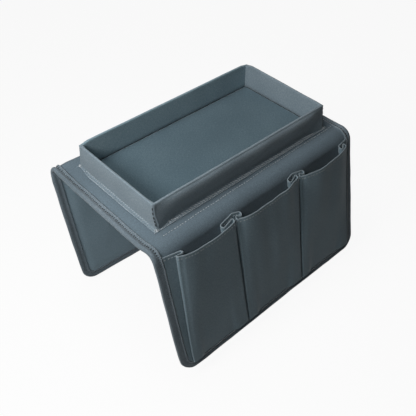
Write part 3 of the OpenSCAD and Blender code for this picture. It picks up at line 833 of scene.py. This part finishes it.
def pocketPiece(index):
    # Rows: up the hem's inner layer, over the mouth, and down to the bottom seam
    hem = pockets["hem"] / 165
    turn = np.linspace(0, np.pi, 7)
    layer = pockets["cloth"] + 0.08
    rowsT = np.r_[np.linspace(hem, 0.004, 6), np.zeros(7), np.linspace(0.004, 1, 62) ** 1.1]
    inward = np.r_[np.full(6, layer), layer * (1 + np.cos(turn)) / 2, np.zeros(62)]
    above = np.r_[np.zeros(6), 0.45 * np.sin(turn), np.zeros(62)]
    centre, flat = pocketPoint(index, rowsT, inward, above)
    piece = addPiece(pockets["names"][index], [clothShell(centre, pockets["cloth"], flat)], pocketLitCloth)
    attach(piece, "front_flap")
    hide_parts(("pocket_left", "pocket_middle", "pocket_right")[index])
    return piece


def pocketThread():
    # A row below each mouth, on the hem
    rows = []
    for index in range(3):
        t = pockets["hemStitch"] / 172
        line, _ = pocketPoint(index, [t], [-pockets["cloth"] / 2 - 0.08])
        off, _ = pocketPoint(index, [t], [-pockets["cloth"] / 2 - 1.08])
        up = off[0] - line[0]
        up /= np.linalg.norm(up, axis=1, keepdims=True)
        rows.append(stitchRow(line[0], up, pitch=4.4, share=0.6, wide=1.2, high=0.6, seed=91 + index))
    piece = addPiece("pocketThread", rows, hemThread)
    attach(piece, "front_flap")
    return piece


for index in range(3):
    pocketPiece(index)
pocketThread()
print("pockets made")


# ---------------------------------------------------------------- camera, light and floor
view = dict(place=(-418.2, -458.1, 485.5), azimuth=-42.563, elevation=43.726, roll=0.256, lens=49.69)
lamps = dict(
    key=dict(place=(-620, -40, 430), aim=(0, 0, -40), size=220, power=2.85),
    fill=dict(place=(-430, -330, 420), aim=(0, 0, -40), size=250, power=0.57),
    top=dict(place=(-150, 150, 900), aim=(0, 0, 0), size=500, power=3.5),
    room=0.0,
)


def addCamera():
    az, el, roll = (np.radians(view[k]) for k in ("azimuth", "elevation", "roll"))
    back = np.array([np.sin(az) * np.cos(el), -np.cos(az) * np.cos(el), np.sin(el)])
    right = np.array([np.cos(az), np.sin(az), 0])
    up = np.cross(back, right)
    right, up = right * np.cos(roll) + up * np.sin(roll), up * np.cos(roll) - right * np.sin(roll)
    data = bpy.data.cameras.new("camera")
    data.lens, data.sensor_width, data.clip_start, data.clip_end = view["lens"], 36, 0.01, 50
    camera = bpy.data.objects.new("camera", data)
    place = Matrix.Identity(4)
    for k in range(3):
        place[k][0], place[k][1], place[k][2], place[k][3] = right[k], up[k], back[k], view["place"][k] * mm
    camera.matrix_world = place
    scene.collection.objects.link(camera)
    scene.camera = camera


def addLamp(name, settings):
    data = bpy.data.lights.new(name, "AREA")
    data.shape, data.size, data.energy = "SQUARE", settings["size"] * mm, settings["power"]
    lamp = bpy.data.objects.new(name, data)
    back = np.array(settings["place"], float) - np.array(settings["aim"], float)
    back /= np.linalg.norm(back)
    right = np.cross((0, 0, 1), back)
    right = right / np.linalg.norm(right) if np.linalg.norm(right) > 1e-6 else np.array([1.0, 0, 0])
    up = np.cross(back, right)
    place = Matrix.Identity(4)
    for k in range(3):
        place[k][0], place[k][1], place[k][2], place[k][3] = right[k], up[k], back[k], settings["place"][k] * mm
    lamp.matrix_world = place
    scene.collection.objects.link(lamp)


def addFloor():
    # Pale floor: what the camera sees is lifted half way to white, and the shadow stays in the other half
    mesh = bpy.data.meshes.new("floor")
    z = -0.2085
    mesh.from_pydata([(-6, -6, z), (6, -6, z), (6, 6, z), (-6, 6, z)], [], [(0, 1, 2, 3)])
    floor = bpy.data.objects.new("floor", mesh)
    scene.collection.objects.link(floor)
    made, tree = newMaterial("White paper backdrop")
    path = addNode(tree, "ShaderNodeLightPath")
    mirrored = addNode(tree, "ShaderNodeMath", {"operation": "MAXIMUM"}, {0: (path, "Is Glossy Ray"), 1: (path, "Is Transmission Ray")})
    seen = addNode(tree, "ShaderNodeMath", {"operation": "MAXIMUM"}, {0: (path, "Is Camera Ray"), 1: (mirrored, 0)})
    part = addNode(tree, "ShaderNodeMath", {"operation": "MULTIPLY", 1: 0.93}, {0: (seen, 0)})
    shade = addNode(tree, "ShaderNodeMix", {"data_type": "RGBA"}, {0: (seen, 0)})
    shade.inputs[6].default_value, shade.inputs[7].default_value = linearColour("#b0b0b0"), linearColour("#f4f4f4")
    paper = addNode(tree, "ShaderNodeBsdfDiffuse", None, {"Color": (shade, 2)})
    lit = addNode(tree, "ShaderNodeEmission", {"Color": (1, 1, 1, 1), "Strength": 1.0})
    mixed = addNode(tree, "ShaderNodeMixShader", None, {0: (part, 0), 1: (paper, 0), 2: (lit, 0)})
    addNode(tree, "ShaderNodeOutputMaterial", None, {"Surface": (mixed, 0)})
    mesh.materials.append(made)


def addWorld():
    world = bpy.data.worlds.new("room")
    world.use_nodes = True
    tree = world.node_tree
    tree.nodes.clear()
    path = addNode(tree, "ShaderNodeLightPath")
    soft = addNode(tree, "ShaderNodeBackground", {"Color": (1, 1, 1, 1), "Strength": lamps["room"]})
    white = addNode(tree, "ShaderNodeBackground", {"Color": (1, 1, 1, 1), "Strength": 0.95})
    mixed = addNode(tree, "ShaderNodeMixShader", None, {0: (path, "Is Camera Ray"), 1: (soft, 0), 2: (white, 0)})
    addNode(tree, "ShaderNodeOutputWorld", None, {"Surface": (mixed, 0)})
    scene.world = world


addCamera()
for name in ("key", "fill", "top"):
    addLamp(name, lamps[name])
addFloor()
addWorld()
scene.view_settings.view_transform = "Standard"
print("camera, light and floor set")
